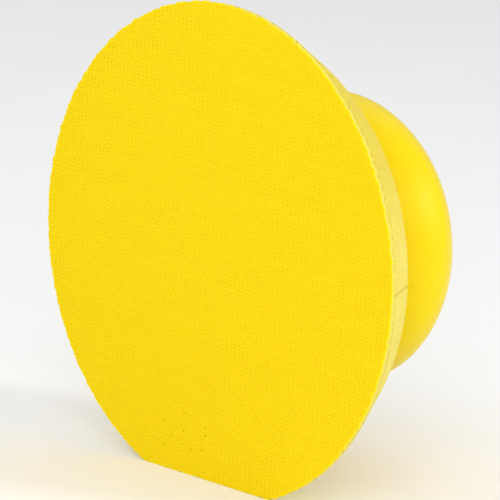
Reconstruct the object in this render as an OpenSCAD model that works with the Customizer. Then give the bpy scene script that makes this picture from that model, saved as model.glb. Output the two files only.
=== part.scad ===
// Hand polishing pad: a round hook sheet on a bevelled foam pad with one flat edge,
// a rigid backing plate let into the back of the foam, and a palm knob bolted to it.
// The disc is upright, with its flat edge down, the hook face towards -Y and the knob
// towards +Y.  The origin is the centre of the hook face, on the plane of the hook tips.

/* [Disc] */
// Radius of the hook face, which carries a standard round loop-backed disc
disc_r = 75; // [72:0.5:90]
// Distance from the knob axis to the flat edge
flat_distance = 69.9; // [67.5:0.1:71]
// Depth from the hook tips to the back of the foam
disc_depth = 17.6; // [15:0.1:24]
// Radius of the rim where the bevel meets the rounded back edge
rim_back_r = 65.9; // [62:0.1:70]
// Radius of the rounded back edge of the foam
rim_edge_r = 1.3; // [0.5:0.1:3]

/* [Hook sheet] */
// Thickness of the woven hook sheet, with its hooks
sheet_thickness = 1.6; // [1:0.1:3]
// Thickness of each adhesive film
film_thickness = 0.2; // [0.1:0.05:0.4]
// How far the films stop short of the edge they bond
film_inset = 0.6; // [0.2:0.1:2]

/* [Backing plate] */
// Radius of the rigid plate
plate_r = 58; // [50:0.5:60]
// Thickness of the plate outside its boss
plate_thickness = 4.6; // [4:0.1:6]
// Depth of the plate's pocket in the foam
pocket_depth = 3; // [1:0.1:4]
// Radius of the boss that centres the knob
boss_r = 20; // [18:0.5:21]
// Height of the boss above the back of the plate
boss_height = 4; // [3.8:0.1:6]

/* [Knob] */
// Largest radius of the knob
knob_r = 45.3; // [38:0.1:50]
// Depth from the hook tips to the knob's widest point
knob_mid = 52.3; // [50:0.1:60]
// Height of the dome above the widest point
dome_height = 20; // [14:0.5:26]
// Depth of the rounded underside below the widest point
under_depth = 19; // [14:0.5:22]
// Radius of the neck, where the fingers close
neck_r = 24; // [22:0.5:28]
// Radius of the knob's foot on the plate
foot_r = 31; // [29:0.5:40]
// Thickness of the edge of the foot
foot_edge = 1; // [0.5:0.1:2]
// How far the plate and knob sit below the centre of the hook face
knob_drop = 1.2; // [0:0.1:2]

/* [Fasteners] */
// Radius of the clamp screw's thread
screw_r = 4; // [2.5:0.5:4]
// Length of the clamp screw under its head
screw_length = 25; // [20:1:26]
// Radius of each locating pin
pin_r = 2.5; // [1.5:0.5:2.5]
// Distance of each locating pin from the knob axis
pin_offset = 13.5; // [13:0.5:14.5]

/* [Hidden] */
$fn = 180;
past = 1;              // how far a cutter runs past the surface that it opens

// Depths behind the hook tips
film_d = sheet_thickness;
foam_d = film_d + film_thickness;
pocket_d = disc_depth - pocket_depth;
plate_d = pocket_d + film_thickness;
foot_d = plate_d + plate_thickness;
boss_d = foot_d + boss_height;
core_d = boss_d + 0.15;
overall_depth = knob_mid + dome_height;

plate_gap = 0.3;       // clearance round the plate in its pocket
boss_gap = 0.15;       // clearance round the boss in the knob
fit_gap = 0.03;        // radial clearance of pins, screw, insert and core
plate_edge_r = 1.8;    // rounding of the plate's back edge

head_r = 1.65 * screw_r;
head_h = 1.2 * screw_r;
socket_flats = 1.25 * screw_r;
socket_depth = 0.6 * head_h;
washer_r = 1.9 * screw_r;
washer_t = 1.6;
bore_r = washer_r + 0.6;        // counterbore for the head and washer
head_d = plate_d + 0.3;
washer_d = head_d + head_h;
seat_d = washer_d + washer_t;

insert_r = screw_r + 3;
insert_flange_r = insert_r + 2;
insert_flange_t = 2;
insert_end = washer_d + screw_length + 1.5;
pin_length = 12;
pin_d = plate_d + 1.5;

core_r = 15;
core_rib_r = 18;       // ribs that key the core into the moulding round it
core_rib_t = 4;
core_end = insert_end + 3;

// Turns a part drawn along Z, hook tips at 0, upright with its flat edge down.
module stand_up() {
    rotate([-90, 0, 0]) children();
}

// Moves a part drawn round the disc's axis to the knob's.
module on_knob_axis() {
    translate([0, knob_drop, 0]) children();
}

// Cuts away what lies beyond the flat edge; inset moves the cut towards the axis.
module flat_cut(inset = 0) {
    translate([-2 * disc_r, flat_distance - inset, -past])
        cube([4 * disc_r, disc_r, overall_depth]);
}

// A layer with the outline of the hook face, from one depth to the next.
module face_layer(d, thickness, inset = 0) {
    difference() {
        translate([0, 0, d]) cylinder(r = disc_r - inset, h = thickness);
        flat_cut(inset);
    }
}

// A round solid along the axis from one depth to another.
module bore(r, from, to) {
    translate([0, 0, from]) cylinder(r = r, h = to - from);
}

// Points on an ellipse's arc round a centre, from angle a to angle b.
function arc(centre, rx, ry, a, b, steps) = [
    for (i = [0 : steps])
        let (t = a + (b - a) * i / steps)
            [centre[0] + rx * cos(t), centre[1] + ry * sin(t)]
];

module hook_sheet() {
    color("gold") stand_up() face_layer(0, sheet_thickness);
}

module sheet_adhesive() {
    color("wheat") stand_up() face_layer(film_d, film_thickness, film_inset);
}

// The bevel runs from the full radius at the hook sheet to the rounded back edge.
module foam_pad() {
    bevel = atan((disc_r - rim_back_r) / (disc_depth - rim_edge_r - foam_d));
    edge_centre = [rim_back_r - rim_edge_r * cos(bevel), disc_depth - rim_edge_r];
    profile = concat(
        [[0, foam_d], [disc_r, foam_d]],
        arc(edge_centre, rim_edge_r, rim_edge_r, bevel, 90, 8),
        [[0, disc_depth]]
    );
    color("khaki") stand_up() difference() {
        rotate_extrude() polygon(profile);
        flat_cut();
        on_knob_axis() bore(plate_r + plate_gap, pocket_d, disc_depth + past);
    }
}

module plate_adhesive() {
    color("wheat") stand_up() on_knob_axis() bore(plate_r - film_inset, pocket_d, plate_d);
}

// The locating pins, or with a gap the holes that they are pressed into.
module pins(gap) {
    for (side = [-1, 1])
        translate([side * pin_offset, 0, 0]) bore(pin_r + gap, pin_d, pin_d + pin_length);
}

module backing_plate() {
    profile = concat(
        [[0, plate_d], [plate_r, plate_d]],
        arc([plate_r - plate_edge_r, foot_d - plate_edge_r], plate_edge_r, plate_edge_r, 0, 90, 6),
        [[boss_r, foot_d], [boss_r, boss_d], [0, boss_d]]
    );
    color("gold") stand_up() on_knob_axis() difference() {
        rotate_extrude() polygon(profile);
        bore(screw_r + fit_gap, plate_d, boss_d + past);
        bore(bore_r, plate_d - past, seat_d);
        pins(fit_gap);
    }
}

module clamp_screw() {
    color("silver") stand_up() on_knob_axis() difference() {
        union() {
            bore(head_r, head_d, washer_d);
            bore(screw_r, washer_d, washer_d + screw_length);
        }
        translate([0, 0, head_d - past])
            cylinder(r = socket_flats / 2 / cos(30), h = socket_depth + past, $fn = 6);
    }
}

// A split spring washer, cut through at one side.
module lock_washer() {
    color("silver") stand_up() on_knob_axis() difference() {
        bore(washer_r, washer_d, seat_d);
        bore(screw_r + fit_gap, washer_d - past, seat_d + past);
        rotate([0, 0, 30]) translate([0, -washer_t / 2, washer_d - past])
            cube([2 * washer_r, washer_t, washer_t + 2 * past]);
    }
}

module locating_pins() {
    color("silver") stand_up() on_knob_axis() pins(0);
}

// The insert's outside, or with a gap the space that the core leaves for it.
module insert_body(gap) {
    bore(insert_flange_r + gap, core_d - gap, core_d + insert_flange_t + gap);
    bore(insert_r + gap, core_d, insert_end + gap);
}

module threaded_insert() {
    color("goldenrod") stand_up() on_knob_axis() difference() {
        insert_body(0);
        bore(screw_r + fit_gap, core_d - past, insert_end - past);
    }
}

// The core's outside, or with a gap the cavity that the knob is moulded with.
module core_body(gap) {
    bore(core_rib_r + gap, core_d - gap, core_d + core_rib_t + gap);
    bore(core_r + gap, core_d, core_end);
    bore(core_rib_r + gap, core_end - core_rib_t - gap, core_end + gap);
}

module knob_core() {
    color("dimgray") stand_up() on_knob_axis() difference() {
        core_body(0);
        insert_body(fit_gap);
        pins(fit_gap);
    }
}

// Foot, hollow-sided neck, rounded underside and domed top.  The neck's arc ends
// where its slope meets the underside's.
module palm_knob() {
    neck_low = foot_d + foot_edge;
    neck_high = knob_mid - 0.95 * under_depth;
    neck_mid = (neck_low + neck_high) / 2;
    profile = concat(
        [[0, foot_d], [foot_r, foot_d]],
        arc([foot_r, neck_mid], foot_r - neck_r, neck_mid - neck_low, 270, 110, 20),
        arc([neck_r, knob_mid], knob_r - neck_r, under_depth, 290, 360, 28),
        arc([0, knob_mid], knob_r, dome_height, 2, 90, 40)
    );
    color("yellow") stand_up() on_knob_axis() difference() {
        rotate_extrude() polygon(profile);
        bore(boss_r + boss_gap, foot_d - past, core_d);
        core_body(fit_gap);
    }
}

hook_sheet();
sheet_adhesive();
foam_pad();
plate_adhesive();
backing_plate();
clamp_screw();
lock_washer();
locating_pins();
threaded_insert();
knob_core();
palm_knob();
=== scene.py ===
import math
import bmesh
import bpy
from mathutils import Matrix, Quaternion, Vector, noise


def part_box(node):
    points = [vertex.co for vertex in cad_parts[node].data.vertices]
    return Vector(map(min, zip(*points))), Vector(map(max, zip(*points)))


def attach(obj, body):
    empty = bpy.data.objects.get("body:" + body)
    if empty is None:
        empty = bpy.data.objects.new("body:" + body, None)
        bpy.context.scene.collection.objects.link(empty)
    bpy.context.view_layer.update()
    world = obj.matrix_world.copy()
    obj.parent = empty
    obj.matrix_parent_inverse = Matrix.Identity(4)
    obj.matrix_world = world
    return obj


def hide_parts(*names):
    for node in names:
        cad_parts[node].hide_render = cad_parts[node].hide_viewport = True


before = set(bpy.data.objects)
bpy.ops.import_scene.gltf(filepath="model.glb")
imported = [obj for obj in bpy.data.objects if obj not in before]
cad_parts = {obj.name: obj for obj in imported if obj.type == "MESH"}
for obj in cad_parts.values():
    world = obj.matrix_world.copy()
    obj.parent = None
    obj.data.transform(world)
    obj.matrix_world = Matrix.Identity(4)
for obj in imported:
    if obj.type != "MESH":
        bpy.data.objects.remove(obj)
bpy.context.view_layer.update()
mm = 0.001
tiny = 0.001 * mm                             # nearer than this counts as the same place
sheetLow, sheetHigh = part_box("hook_sheet")
foamLow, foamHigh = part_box("foam_pad")
knobLow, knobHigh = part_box("palm_knob")

discRadius = (sheetHigh[0] - sheetLow[0]) / 2
flatHeight = sheetLow[2]                      # the flat edge's level
knobCentre = (knobLow[2] + knobHigh[2]) / 2   # the knob axis's level
noise.seed_set(1)                             # the hooks lean the same way in every run
print("frame loaded")


# Camera and light

view = {
    "azimuth": 46.3, "elevation": 12.15, "roll": 1.73,   # degrees
    "distance": 1.079, "lens": 261.2,                     # metres, and mm on a 36 mm sensor
    "across": 11.7 * mm, "over": 1.45 * mm,               # the aim, from the hook face's centre
}


def direction(azimuth, elevation):
    a, e = math.radians(azimuth), math.radians(elevation)
    return Vector((math.sin(a) * math.cos(e), -math.cos(a) * math.cos(e), math.sin(e)))


def makeCamera():
    back = direction(view["azimuth"], view["elevation"])
    across = Vector((-back.y, back.x, 0)).normalized()
    over = back.cross(across)
    camera = bpy.data.objects.new("camera", bpy.data.cameras.new("camera"))
    camera.data.sensor_width = 36
    camera.data.lens = view["lens"]
    camera.data.clip_start, camera.data.clip_end = 0.01, 20
    camera.location = back * view["distance"] + across * view["across"] + over * view["over"]
    camera.rotation_mode = "QUATERNION"
    turn = Quaternion((0, 0, 1), math.radians(view["roll"]))
    camera.rotation_quaternion = (-back).to_track_quat("-Z", "Y") @ turn
    bpy.context.collection.objects.link(camera)
    bpy.context.scene.camera = camera


lamps = {
    "sideLamp": {"azimuth": 116, "elevation": 26, "distance": 1.2, "size": 0.26, "power": 4.8},
    "keyLamp": {"azimuth": 45, "elevation": 30, "distance": 1.3, "size": 0.8, "power": 5.2},
    "fillLamp": {"azimuth": -25, "elevation": 35, "distance": 1.5, "size": 1.2, "power": 4.6},
    "floorLamp": {"azimuth": 0, "elevation": 90, "distance": 1.0, "size": 1.5, "power": 2.2,
                  "aim": (-0.6, 0.57, 0)},
}
roomLight = 0.6


def makeLamps():
    for name, lamp in lamps.items():
        data = bpy.data.lights.new(name, "AREA")
        data.shape, data.size, data.energy = "DISK", lamp["size"], lamp["power"]
        towards = direction(lamp["azimuth"], lamp["elevation"])
        light = bpy.data.objects.new(name, data)
        light.location = towards * lamp["distance"] + Vector(lamp.get("aim", (0, 0, 0)))
        light.rotation_mode = "QUATERNION"
        light.rotation_quaternion = (-towards).to_track_quat("-Z", "Y")
        bpy.context.collection.objects.link(light)
    world = bpy.data.worlds.new("studio")
    world.use_nodes = True
    world.node_tree.nodes["Background"].inputs["Color"].default_value = (1, 1, 1, 1)
    world.node_tree.nodes["Background"].inputs["Strength"].default_value = roomLight
    bpy.context.scene.world = world
    bpy.context.scene.view_settings.view_transform = "Standard"


makeCamera()
makeLamps()
print("camera and lamps made")


# Shader maths

class Wire:
    # a socket of a material, which takes part in sums as a number does
    def __init__(self, shade, socket):
        self.shade, self.socket = shade, socket

    def maths(self, operation, *values):
        return self.shade.node("ShaderNodeMath", {"operation": operation}, dict(enumerate(values)))

    def __add__(self, other):
        return self.maths("ADD", self, other)

    def __sub__(self, other):
        return self.maths("SUBTRACT", self, other)

    def __rsub__(self, other):
        return self.maths("SUBTRACT", other, self)

    def __mul__(self, other):
        return self.maths("MULTIPLY", self, other)

    def __truediv__(self, other):
        return self.maths("DIVIDE", self, other)

    def __lt__(self, other):
        return self.maths("LESS_THAN", self, other)

    def __gt__(self, other):
        return self.maths("GREATER_THAN", self, other)

    def sine(self):
        return self.maths("SINE", self)

    def root(self):
        return self.maths("SQRT", self)

    def size(self):
        return self.maths("ABSOLUTE", self)

    def whole(self):
        return self.maths("FLOOR", self)

    def modulo(self, other):
        return self.maths("FLOORED_MODULO", self, other)

    __radd__, __rmul__ = __add__, __mul__


class Shade:
    # a material's nodes
    def __init__(self, name):
        self.material = bpy.data.materials.new(name)
        self.material.use_nodes = True
        self.tree = self.material.node_tree
        self.tree.nodes.clear()

    def node(self, kind, settings=None, sockets=None, out=0):
        made = self.tree.nodes.new(kind)
        for key, value in (settings or {}).items():
            setattr(made, key, value)
        for key, value in (sockets or {}).items():
            if isinstance(value, Wire):
                self.tree.links.new(value.socket, made.inputs[key])
            else:
                made.inputs[key].default_value = value
        return Wire(self, made.outputs[out]) if made.outputs else made

    def place(self):
        return self.node("ShaderNodeTexCoord", out="Object")

    def axes(self, vector):
        made = self.node("ShaderNodeSeparateXYZ", sockets={0: vector}).socket.node
        return [Wire(self, socket) for socket in made.outputs]

    def join(self, x, y, z):
        return self.node("ShaderNodeCombineXYZ", sockets={0: x, 1: y, 2: z})

    def grain(self, vector, cell, detail=2.0, roughness=0.5):
        sockets = {"Vector": vector, "Scale": 1 / cell, "Detail": detail, "Roughness": roughness}
        return self.node("ShaderNodeTexNoise", sockets=sockets)

    def cells(self, vector, cell, dimensions="3D"):
        settings = {"feature": "F1", "voronoi_dimensions": dimensions}
        return self.node("ShaderNodeTexVoronoi", settings, {"Vector": vector, "Scale": 1 / cell})

    def ramp(self, value, low, high):
        sockets = {"Value": value, "From Min": low, "From Max": high}
        return self.node("ShaderNodeMapRange", {"clamp": True}, sockets)

    def blend(self, share, first, second):
        settings = {"data_type": "RGBA", "blend_type": "MIX"}
        sockets = {0: share, 6: first, 7: second}
        return self.node("ShaderNodeMix", settings, sockets, 2)

    def bump(self, height, depth, strength=1.0):
        sockets = {"Height": height, "Distance": depth, "Strength": strength}
        return self.node("ShaderNodeBump", sockets=sockets)

    def finish(self, **sockets):
        named = {key.replace("_", " "): value for key, value in sockets.items()}
        surface = self.node("ShaderNodeBsdfPrincipled", sockets=named)
        self.node("ShaderNodeOutputMaterial", sockets={"Surface": surface})
        return self.material


def paint(red, green, blue):
    # screen colours, 0 to 255, as a linear colour
    def linear(level):
        level = level / 255
        return level / 12.92 if level <= 0.04045 else ((level + 0.055) / 1.055) ** 2.4
    return (linear(red), linear(green), linear(blue), 1)


# Shared mesh work

def makeObject(name, bm, material, sharpAngle=40):
    mesh = bpy.data.meshes.new(name)
    for face in bm.faces:
        face.smooth = True
    bm.to_mesh(mesh)
    bm.free()
    mesh.set_sharp_from_angle(angle=math.radians(sharpAngle))
    mesh.materials.append(material)
    piece = bpy.data.objects.new(name, mesh)
    bpy.context.collection.objects.link(piece)
    return piece


def arc(centre, acrossRadius, alongRadius, start, end, steps):
    turns = [math.radians(start + (end - start) * i / steps) for i in range(steps + 1)]
    return [(centre[0] + acrossRadius * math.cos(t), centre[1] + alongRadius * math.sin(t))
            for t in turns]


def line(start, end, steps):
    # the points after start
    return [(start[0] + (end[0] - start[0]) * i / steps, start[1] + (end[1] - start[1]) * i / steps)
            for i in range(1, steps + 1)]


def lathe(outline, level, steps):
    # outline holds (radius, depth) pairs, turned round an axis along Y at that level
    bm = bmesh.new()
    verts = [bm.verts.new((radius, depth, level)) for radius, depth in outline]
    edges = [bm.edges.new(pair) for pair in zip(verts, verts[1:])]
    bmesh.ops.spin(bm, geom=verts + edges, cent=(0, 0, level), axis=(0, 1, 0),
                   angle=2 * math.pi, steps=steps, use_merge=True)
    bmesh.ops.remove_doubles(bm, verts=bm.verts, dist=tiny)
    bmesh.ops.recalc_face_normals(bm, faces=bm.faces)
    return bm


def cutLevel(bm, level, facing=1, **options):
    return bmesh.ops.bisect_plane(bm, geom=bm.verts[:] + bm.edges[:] + bm.faces[:], dist=tiny,
                                  plane_co=(0, 0, level), plane_no=(0, 0, facing), **options)


def cutFlat(bm):
    # takes off what lies below the flat edge, and closes the cut
    cut = cutLevel(bm, flatHeight, -1, clear_outer=True)
    edges = [item for item in cut["geom_cut"] if isinstance(item, bmesh.types.BMEdge)]
    bmesh.ops.holes_fill(bm, edges=edges, sides=0)
    bmesh.ops.recalc_face_normals(bm, faces=bm.faces)


def addSeam(bm, level, width, height, reach):
    # a mould line in a level plane: a ridge, or a groove where height is negative
    for offset in (-1.6 * width, -width / 2, 0, width / 2, 1.6 * width):
        cutLevel(bm, level + offset)
    for side in (-1, 1):
        for vert in bm.verts:
            if abs(vert.co.z - level) < 0.01 * width and side * vert.co.x > reach:
                vert.co.x += side * height


# Hook sheet

weave = {
    "columnPitch": 1.8 * mm, "rowPitch": 1.255 * mm,
    "turn": math.radians(2.4),          # the cloth was laid a little askew of the flat edge
    "clothThickness": 1.2 * mm,
    "bandRows": 7, "pairGap": 2,        # two brighter rows in each band of seven
    "edgeSteps": 720, "flatCuts": 40,
    "edgeWaver": 0.55 * mm, "edgeWaverLength": 1.5 * mm, "edgeInset": 0.05 * mm,
    "sideBand": 0.3 * mm,               # width of the cut side's paler colour at the edge
    "translucence": {"Subsurface_Weight": 0.8, "Subsurface_Radius": (1, 0.8, 0.2),
                     "Subsurface_Scale": 1.2 * mm},
}
hook = {
    "wire": 0.1 * mm, "wireSides": 4,   # radius of the monofilament
    "curl": 0.17 * mm, "curlAngle": math.radians(150), "curlSteps": 4,
    "tip": 0.6,                         # the tip's width, as a share of the wire's
    "lean": 0.07 * mm, "leanLength": 1.7 * mm,
    "overhang": 0.12 * mm,              # how far the last hooks pass the cut edge
}
fleck = {                               # the patch low on the face that holds the dark flecks
    "x": -9 * mm, "z": -58 * mm, "halfWidth": 16 * mm, "halfHeight": 9 * mm,
    "spacing": 4.6 * mm, "size": 0.045, "rarity": 0.55,
}
# lit is a painted highlight on the hook tips; mid is painted shade at the hook roots, and the
# cloth's darker weave
faceColours = {
    # gap is the cloth between the hooks, painted lighter to offset the shade there
    "lit": paint(252, 223, 0), "mid": paint(244, 212, 0), "gap": paint(249, 216, 0),
    "fleck": paint(150, 116, 20), "cutSide": paint(224, 210, 96),
}


def clothFrame(shade):
    # distances along the rows and across them
    x, _, z = shade.axes(shade.place())
    cosine, sine = math.cos(weave["turn"]), math.sin(weave["turn"])
    return x * cosine - z * sine, x * sine + z * cosine


def rowGlow(shade, across):
    # 1 on the brighter rows, with each row a little different from the next
    row = (across / weave["rowPitch"] + 0.5).whole()
    chance = shade.node("ShaderNodeTexWhiteNoise", {"noise_dimensions": "1D"}, {"W": row})
    first = row.modulo(weave["bandRows"]) < 0.5
    second = (row - weave["pairGap"]).modulo(weave["bandRows"]) < 0.5
    return (first + second) * 0.75 + chance * 0.35


def flecks(shade):
    # 1 on a few dark flecks, low on the face
    x, _, z = shade.axes(shade.place())
    cell = shade.cells(shade.join(x, z, 0.0), fleck["spacing"], "2D")
    chance = shade.axes(Wire(shade, cell.socket.node.outputs["Color"]))[0]
    nearX = (x - fleck["x"]) / fleck["halfWidth"]
    nearZ = (z - fleck["z"]) / fleck["halfHeight"]
    inPatch = (nearX * nearX + nearZ * nearZ) < 1.0
    return (cell < fleck["size"]) * (chance > fleck["rarity"]) * inPatch


def clothMaterial():
    shade = Shade("wovenCloth")
    along, across = clothFrame(shade)
    warp = (along * (2 * math.pi / weave["columnPitch"])).sine()
    weft = (across * (2 * math.pi / weave["rowPitch"])).sine()
    checks = warp * weft
    # the cloth follows a lattice at the hooks' pitch: the gap colour is painted light offsetting
    # the shade among the hooks, over the weave's own tone
    yarn = shade.ramp(checks, -0.9, 0.9)
    fibre = shade.grain(shade.join(along * 0.35, 0.0, across), 0.12 * mm, 3.0)
    share = yarn * 0.6 + fibre * 0.2 + rowGlow(shade, across) * 0.3
    base = shade.blend(share, faceColours["mid"], faceColours["gap"])
    x, y, z = shade.axes(shade.place())
    radius = (x * x + z * z).root()
    beyond = ((radius > discRadius - weave["edgeInset"] - weave["sideBand"])
              + (z < flatHeight + weave["sideBand"]))
    side = beyond * shade.ramp(y, 0.5 * mm, 0.9 * mm)
    base = shade.blend(side, base, faceColours["cutSide"])
    colour = shade.blend(flecks(shade), base, faceColours["fleck"])
    relief = shade.bump(checks + fibre * 0.5, 0.09 * mm, 0.7)
    return shade.finish(Base_Color=colour, Roughness=0.62 + fibre * 0.2, Normal=relief,
                        Specular_IOR_Level=0.15, **weave["translucence"])


def hookMaterial():
    shade = Shade("hookNylon")
    place = shade.place()
    across = clothFrame(shade)[1]
    # tips are painted towards the lit colour and roots towards mid: a painted highlight on the
    # tips, painted shade at the roots
    tip = shade.ramp(shade.axes(place)[1], weave["clothThickness"], 0.0)
    drift = shade.grain(place, 14 * mm, 2.0)
    glow = rowGlow(shade, across)
    share = tip * 0.45 + glow * 0.4 + drift * 0.3
    base = shade.blend(share, faceColours["mid"], faceColours["lit"])
    colour = shade.blend(flecks(shade), base, faceColours["fleck"])
    grain = shade.grain(place, 0.08 * mm, 2.0)
    return shade.finish(Base_Color=colour, Roughness=0.42 + grain * 0.2,
                        Normal=shade.bump(grain, 0.01 * mm, 0.5),
                        Specular_IOR_Level=0.25, Specular_Tint=faceColours["lit"],
                        **weave["translucence"])


upright = Matrix.Rotation(math.pi / 2, 3, "X")


def makeCloth(material):
    bm = bmesh.new()
    bmesh.ops.create_circle(bm, cap_ends=True, segments=weave["edgeSteps"],
                            radius=discRadius - weave["edgeInset"])
    bmesh.ops.rotate(bm, verts=bm.verts, matrix=upright)
    front = sheetHigh[1] - weave["clothThickness"]
    bmesh.ops.translate(bm, verts=bm.verts, vec=(0, front, 0))
    grown = bmesh.ops.extrude_face_region(bm, geom=bm.faces[:])
    verts = [item for item in grown["geom"] if isinstance(item, bmesh.types.BMVert)]
    bmesh.ops.translate(bm, verts=verts, vec=(0, weave["clothThickness"], 0))
    cutFlat(bm)
    flat = [v for v in bm.verts if abs(v.co.z - flatHeight) < tiny]
    sides = [e for e in bm.edges if all(v in flat for v in e.verts)]
    longSides = [e for e in sides if e.calc_length() > 5 * mm]
    bmesh.ops.subdivide_edges(bm, edges=longSides, cuts=weave["flatCuts"])
    for vert in bm.verts:                      # yarn ends waver along the cut
        place = Vector((vert.co.x, 0, vert.co.z))
        waver = noise.noise(place / weave["edgeWaverLength"])
        vert.co += place.normalized() * weave["edgeWaver"] * (waver + 0.25)
    bmesh.ops.recalc_face_normals(bm, faces=bm.faces)
    return makeObject("hookCloth", bm, material)


def makeHook(facing):
    # one hook, its root at the origin and its tip curled over towards facing
    bm = bmesh.new()
    rise = sheetHigh[1] - weave["clothThickness"] - hook["curl"] - hook["wire"]
    bmesh.ops.create_circle(bm, segments=hook["wireSides"], radius=hook["wire"])
    grown = bmesh.ops.extrude_edge_only(bm, edges=bm.edges[:])
    top = [item for item in grown["geom"] if isinstance(item, bmesh.types.BMVert)]
    bmesh.ops.translate(bm, verts=top, vec=(0, 0, rise))
    topEdges = [e for e in bm.edges if all(v in top for v in e.verts)]
    curled = bmesh.ops.spin(bm, geom=topEdges + top, cent=(facing * hook["curl"], 0, rise),
                            axis=(0, facing, 0), angle=hook["curlAngle"],
                            steps=hook["curlSteps"])
    end = [item for item in curled["geom_last"] if isinstance(item, bmesh.types.BMVert)]
    centre = sum((v.co for v in end), Vector()) / len(end)
    bmesh.ops.scale(bm, verts=end, vec=[hook["tip"]] * 3, space=Matrix.Translation(-centre))
    bmesh.ops.remove_doubles(bm, verts=bm.verts, dist=0.002 * mm)
    bmesh.ops.holes_fill(bm, edges=bm.edges, sides=0)
    bmesh.ops.recalc_face_normals(bm, faces=bm.faces)
    bmesh.ops.rotate(bm, verts=bm.verts, matrix=upright)
    mesh = bpy.data.meshes.new("oneHook")
    bm.to_mesh(mesh)
    bm.free()
    return mesh


def rowReach(level):
    # first and last column of the row at that level, inside the cut edge
    radius, lowest = discRadius + hook["overhang"], flatHeight - hook["overhang"]
    if abs(level) >= radius:
        return 0, -1                           # no hooks in this row
    half = math.sqrt(radius ** 2 - level ** 2)
    right = min(half, (level * math.cos(weave["turn"]) - lowest) / math.sin(weave["turn"]))
    return math.ceil(-half / weave["columnPitch"]), math.floor(right / weave["columnPitch"])


def makeHooks(name, facing, material):
    # every second row's hooks, all curled the same way
    one = bpy.data.objects.new("oneHook", makeHook(facing))
    bpy.context.collection.objects.link(one)
    repeat = one.modifiers.new("row", "ARRAY")
    repeat.use_relative_offset, repeat.use_constant_offset = False, True
    repeat.constant_offset_displace = (weave["columnPitch"], 0, 0)
    bm = bmesh.new()
    rows = int(discRadius / weave["rowPitch"])
    root = sheetHigh[1] - weave["clothThickness"]
    for row in range(-rows, rows + 1):
        first, last = rowReach(row * weave["rowPitch"])
        if row % 2 != (facing + 1) // 2 or last < first:
            continue
        repeat.count = last - first + 1
        drawn = one.evaluated_get(bpy.context.evaluated_depsgraph_get())
        mesh = bpy.data.meshes.new_from_object(drawn)
        shift = first * weave["columnPitch"] - facing * hook["curl"]
        mesh.transform(Matrix.Translation((shift, root, row * weave["rowPitch"])))
        bm.from_mesh(mesh)
        bpy.data.meshes.remove(mesh)
    bpy.data.objects.remove(one)
    for vert in bm.verts:                      # no two hooks lean alike
        height = (root - vert.co.y) / root
        sway = noise.noise_vector(vert.co / hook["leanLength"])
        vert.co += sway * hook["lean"] * max(height, 0)
        vert.co.y = max(vert.co.y, 0)
    bmesh.ops.rotate(bm, verts=bm.verts, matrix=Matrix.Rotation(weave["turn"], 3, "Y"))
    return makeObject(name, bm, material, 180)


# Foam pad

foam = {
    "steps": 400,
    "rimBack": 65.7 * mm, "edge": 2.4 * mm,     # the worn edge is rounder than the CAD solid's
    "frontEdge": 0.5 * mm,
    "pocketRadius": 58.3 * mm, "pocketDepth": 3 * mm,
    "seamLevel": 0, "seamWidth": 0.7 * mm, "seamDepth": 0.3 * mm, "seamTilt": 0.06,
    "waver": 0.12 * mm, "waverLength": 7 * mm, "fineWaverLength": 1.6 * mm,
    "colours": {"pale": paint(240, 227, 124), "mid": paint(233, 213, 80),
                "pore": paint(190, 160, 36)},
}


def foamMaterial():
    shade = Shade("cutFoam")
    place = shade.place()
    pore = shade.cells(place, 0.7 * mm)
    fine = shade.grain(place, 0.5 * mm, 5.0, 0.7)
    drift = shade.grain(place, 9 * mm, 3.0)
    pits = shade.ramp(pore, 0.1, 0.5)
    share = pits * 0.5 + (fine - 0.5) * 3.2 + 0.4
    low = shade.blend(share, foam["colours"]["pore"], foam["colours"]["mid"])
    x, y, z = shade.axes(place)
    towardsTop = shade.ramp(z, 8 * mm, 52 * mm)   # darker and yellower towards the top
    colour = shade.blend(fine * 0.4 + drift * 0.5 - towardsTop * 0.7, low, foam["colours"]["pale"])
    wander = (shade.grain(place, 6 * mm, 2.0) - 0.5) * (0.9 * mm)
    gap = (z - foam["seamLevel"] + wander + (y - foamHigh[1]) * foam["seamTilt"]).size()
    seam = shade.ramp(gap, 0.7 * mm, 0.1 * mm) * (x.size() > foam["pocketRadius"])
    # the seam groove is also painted darker: painted shade along the groove
    colour = shade.blend(seam * 0.5, colour, foam["colours"]["pore"])
    relief = shade.bump(pits + fine * 0.8 - seam, 0.07 * mm, 0.6)
    return shade.finish(Base_Color=colour, Roughness=0.75 + fine * 0.2, Normal=relief,
                        Specular_IOR_Level=0.2)


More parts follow.
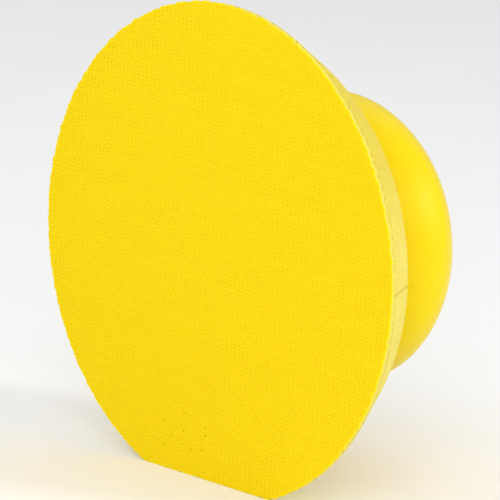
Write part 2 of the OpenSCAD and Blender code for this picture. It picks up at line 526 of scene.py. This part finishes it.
def makeFoam(material):
    front, back = foamLow[1], foamHigh[1]
    slope = math.atan2(discRadius - foam["rimBack"], back - foam["edge"] - front)
    edgeCentre = (foam["rimBack"] - foam["edge"] * math.cos(slope), back - foam["edge"])
    rounded = arc(edgeCentre, foam["edge"], foam["edge"], math.degrees(slope), 90, 6)
    start = (discRadius, front + foam["frontEdge"])
    floor = back - foam["pocketDepth"]
    outline = [(0, front), (discRadius - 4 * mm, front),
               (discRadius - foam["frontEdge"], front), start]
    outline += line(start, rounded[0], 22)[:-1] + rounded
    outline += line(rounded[-1], (foam["pocketRadius"], back), 6)
    outline += [(foam["pocketRadius"], floor), (0, floor)]
    bm = lathe(outline, 0, foam["steps"])
    pocket = [v for v in bm.verts if v.co.y > front + mm
              and math.hypot(v.co.x, v.co.z) < foam["pocketRadius"] + 0.01 * mm]
    bmesh.ops.translate(bm, verts=pocket, vec=(0, 0, knobCentre))
    for vert in bm.verts:
        radius = math.hypot(vert.co.x, vert.co.z)
        if radius > foam["pocketRadius"] + 2 * mm and vert.co.y > front + 0.6 * mm:
            outwards = Vector((vert.co.x, 0, vert.co.z)).normalized()
            wave = noise.noise(vert.co / foam["waverLength"])
            wave += 0.5 * noise.noise(vert.co / foam["fineWaverLength"])
            vert.co += outwards * foam["waver"] * (wave - 0.7)
    addSeam(bm, foam["seamLevel"], foam["seamWidth"], -foam["seamDepth"],
            foam["pocketRadius"] + 4 * mm)
    cutFlat(bm)
    return makeObject("foamPad", bm, material, 35)


# Palm knob

knob = {
    "steps": 256,
    "dome": 20 * mm, "under": 19 * mm,
    "proud": 0.6 * mm, "trim": 0.25 * mm,       # the skin stands a little off the CAD solid
    "neck": 24 * mm, "foot": 31 * mm, "footEdge": 1 * mm, "footCorner": 0.3 * mm,
    "seamWidth": 0.5 * mm, "seamHeight": 0.07 * mm,
    "waver": 0.1 * mm, "waverLength": 22 * mm,
    "colours": {"deep": paint(234, 203, 0), "mid": paint(237, 211, 0), "lit": paint(239, 217, 0)},
}


def knobMaterial():
    shade = Shade("skinnedFoam")
    place = shade.place()
    cloud = shade.grain(place, 16 * mm, 3.0)
    dapple = shade.grain(place, 0.6 * mm, 2.0, 0.6)
    fine = shade.grain(place, 0.25 * mm, 2.0)
    hole = shade.cells(place, 5.5 * mm) < 0.035          # sparse pinholes in the skin
    body = shade.blend(cloud, knob["colours"]["deep"], knob["colours"]["lit"])
    tone = shade.blend(dapple * 0.4, body, knob["colours"]["mid"])
    colour = shade.blend(hole * 0.6, tone, knob["colours"]["deep"])
    relief = shade.bump(dapple + fine * 0.2 - hole * 0.6, 0.18 * mm)
    return shade.finish(Base_Color=colour, Roughness=0.18 + cloud * 0.06 + dapple * 0.08,
                        Normal=relief, Specular_IOR_Level=0.24, Specular_Tint=(1, 1, 0.7, 1))


def makeKnob(material):
    footDepth, top = knobLow[1], knobHigh[1] + knob["proud"]
    widest = (knobHigh[0] - knobLow[0]) / 2 - knob["trim"]
    mid = top - knob["dome"]
    neckLow, neckHigh = footDepth + knob["footEdge"], mid - 0.95 * knob["under"]
    neckMid = (neckLow + neckHigh) / 2
    flare = knob["foot"] - knob["neck"]
    corner = knob["footCorner"]
    outline = [(0, footDepth), (knob["foot"] - corner, footDepth),
               (knob["foot"], footDepth + corner)]
    outline += arc((knob["foot"], neckMid), flare, neckMid - neckLow, 270, 110, 24)
    outline += arc((knob["neck"], mid), widest - knob["neck"], knob["under"], 290, 360, 32)
    outline += arc((0, mid), widest, knob["dome"], 2, 90, 56)
    outline[-1] = (0, top)
    bm = lathe(outline, knobCentre, knob["steps"])
    centre = Vector((0, mid, knobCentre))
    for vert in bm.verts:
        if vert.co.y > neckHigh:
            wave = noise.noise(vert.co / knob["waverLength"]) - 0.9
            vert.co -= (vert.co - centre).normalized() * knob["waver"] * wave
    addSeam(bm, knobCentre, knob["seamWidth"], knob["seamHeight"], knob["neck"] - 2 * mm)
    return makeObject("palmKnob", bm, material, 50)


# Plate and hidden pieces, which keep their CAD shapes

def plateMaterial():
    shade = Shade("mouldedPlate")
    place = shade.place()
    sparkle = shade.grain(place, 0.35 * mm, 3.0, 0.6)
    cloud = shade.grain(place, 20 * mm, 2.0)
    colour = shade.blend(cloud, paint(246, 202, 0), paint(253, 216, 8))
    return shade.finish(Base_Color=colour, Roughness=0.4 + sparkle * 0.2,
                        Normal=shade.bump(sparkle, 0.04 * mm, 0.5), Specular_IOR_Level=0.4)


def metalMaterial(name, dark, light, roughness):
    shade = Shade(name)
    x, y, z = shade.axes(shade.place())
    lines = shade.grain(shade.join(x, y * 12, z), 1.2 * mm, 3.0)
    colour = shade.blend(lines, dark, light)
    return shade.finish(Base_Color=colour, Metallic=1.0, Roughness=roughness + lines * 0.2,
                        Normal=shade.bump(lines, 0.01 * mm, 0.5))


def plainMaterial(name, dark, light, roughness):
    shade = Shade(name)
    grain = shade.grain(shade.place(), 0.8 * mm, 4.0)
    colour = shade.blend(grain, dark, light)
    return shade.finish(Base_Color=colour, Roughness=roughness + grain * 0.2,
                        Normal=shade.bump(grain, 0.03 * mm, 0.5))


def dressFrame():
    steel = metalMaterial("zincSteel", paint(150, 152, 156), paint(205, 206, 210), 0.3)
    adhesive = plainMaterial("curedAdhesive", paint(190, 170, 120), paint(214, 198, 150), 0.4)
    finishes = {
        "backing_plate": plateMaterial(),
        "clamp_screw": steel, "lock_washer": steel, "locating_pins": steel,
        "threaded_insert": metalMaterial("turnedBrass", paint(190, 150, 70),
                                         paint(226, 190, 110), 0.25),
        "knob_core": plainMaterial("mouldedCore", paint(34, 34, 36), paint(58, 58, 60), 0.5),
        "sheet_adhesive": adhesive, "plate_adhesive": adhesive,
    }
    for node, material in finishes.items():
        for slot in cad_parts[node].material_slots:
            slot.material = material


# Floor

floorRadius = 6                                # metres


def makeFloor():
    shade = Shade("paleFloor")
    grain = shade.grain(shade.place(), 40 * mm, 4.0)
    colour = shade.blend(grain, (0.93, 0.93, 0.93, 1), (0.96, 0.96, 0.96, 1))
    material = shade.finish(Base_Color=colour, Roughness=0.8 + grain * 0.1, Specular_IOR_Level=0.2)
    bm = bmesh.new()
    bmesh.ops.create_circle(bm, cap_ends=True, segments=96, radius=floorRadius)
    bmesh.ops.translate(bm, verts=bm.verts, vec=(0, 0, flatHeight))
    makeObject("floor", bm, material)


# Pieces, and what each stands for

def dressSheet():
    cloth = makeCloth(clothMaterial())
    nylon = hookMaterial()
    hooks = [makeHooks("hooksRight", 1, nylon), makeHooks("hooksLeft", -1, nylon)]
    for piece in [cloth] + hooks:
        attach(piece, "root")
        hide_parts("hook_sheet")
    print("hook sheet made")


def dressFoam():
    pad = makeFoam(foamMaterial())
    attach(pad, "root")
    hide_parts("foam_pad")
    print("foam pad made")


def dressKnob():
    piece = makeKnob(knobMaterial())
    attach(piece, "root")
    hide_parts("palm_knob")
    print("palm knob made")


makeFloor()
dressFrame()
dressFoam()
dressSheet()
dressKnob()
